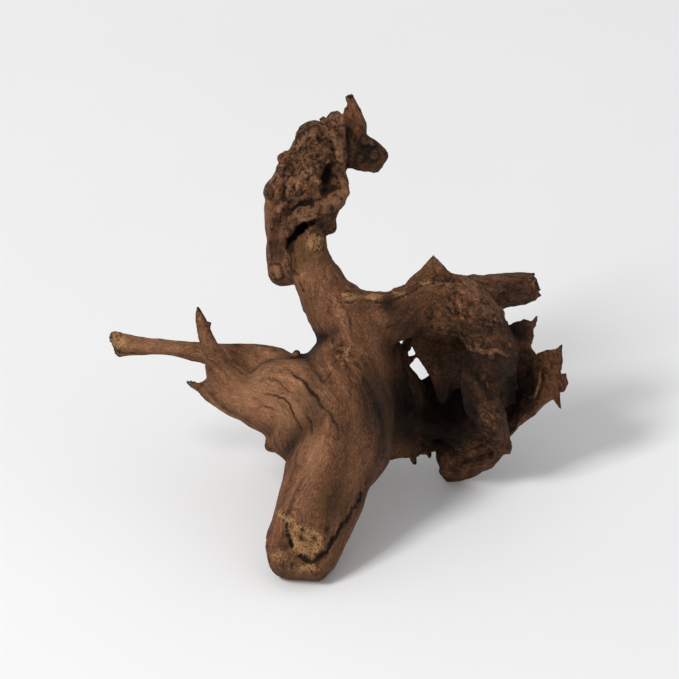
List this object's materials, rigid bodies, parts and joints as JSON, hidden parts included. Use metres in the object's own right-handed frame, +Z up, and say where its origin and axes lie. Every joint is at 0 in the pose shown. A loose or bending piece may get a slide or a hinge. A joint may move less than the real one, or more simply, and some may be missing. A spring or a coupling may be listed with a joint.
{
  "type": "driftwood",
  "caption": "Gnarled driftwood that stands free on low points: a stout leaning stem, a twisted curl, thin broken branches and a hollow, shell-like burl.",
  "frame": {"origin": "middle of the wood's box, on the floor it stands on", "axes": "+Z up as it stands, +X to the right, from the long branch to the burl, -Y to the front, towards the foot"},
  "size_m": [0.3198, 0.2212, 0.2763],
  "materials": {
    "wood": "matt, weathered, with grain, dark cracks and paler broken ends"
  },
  "bodies": {
    "root": {"driftwood": "wood"}
  },
  "joints": []
}
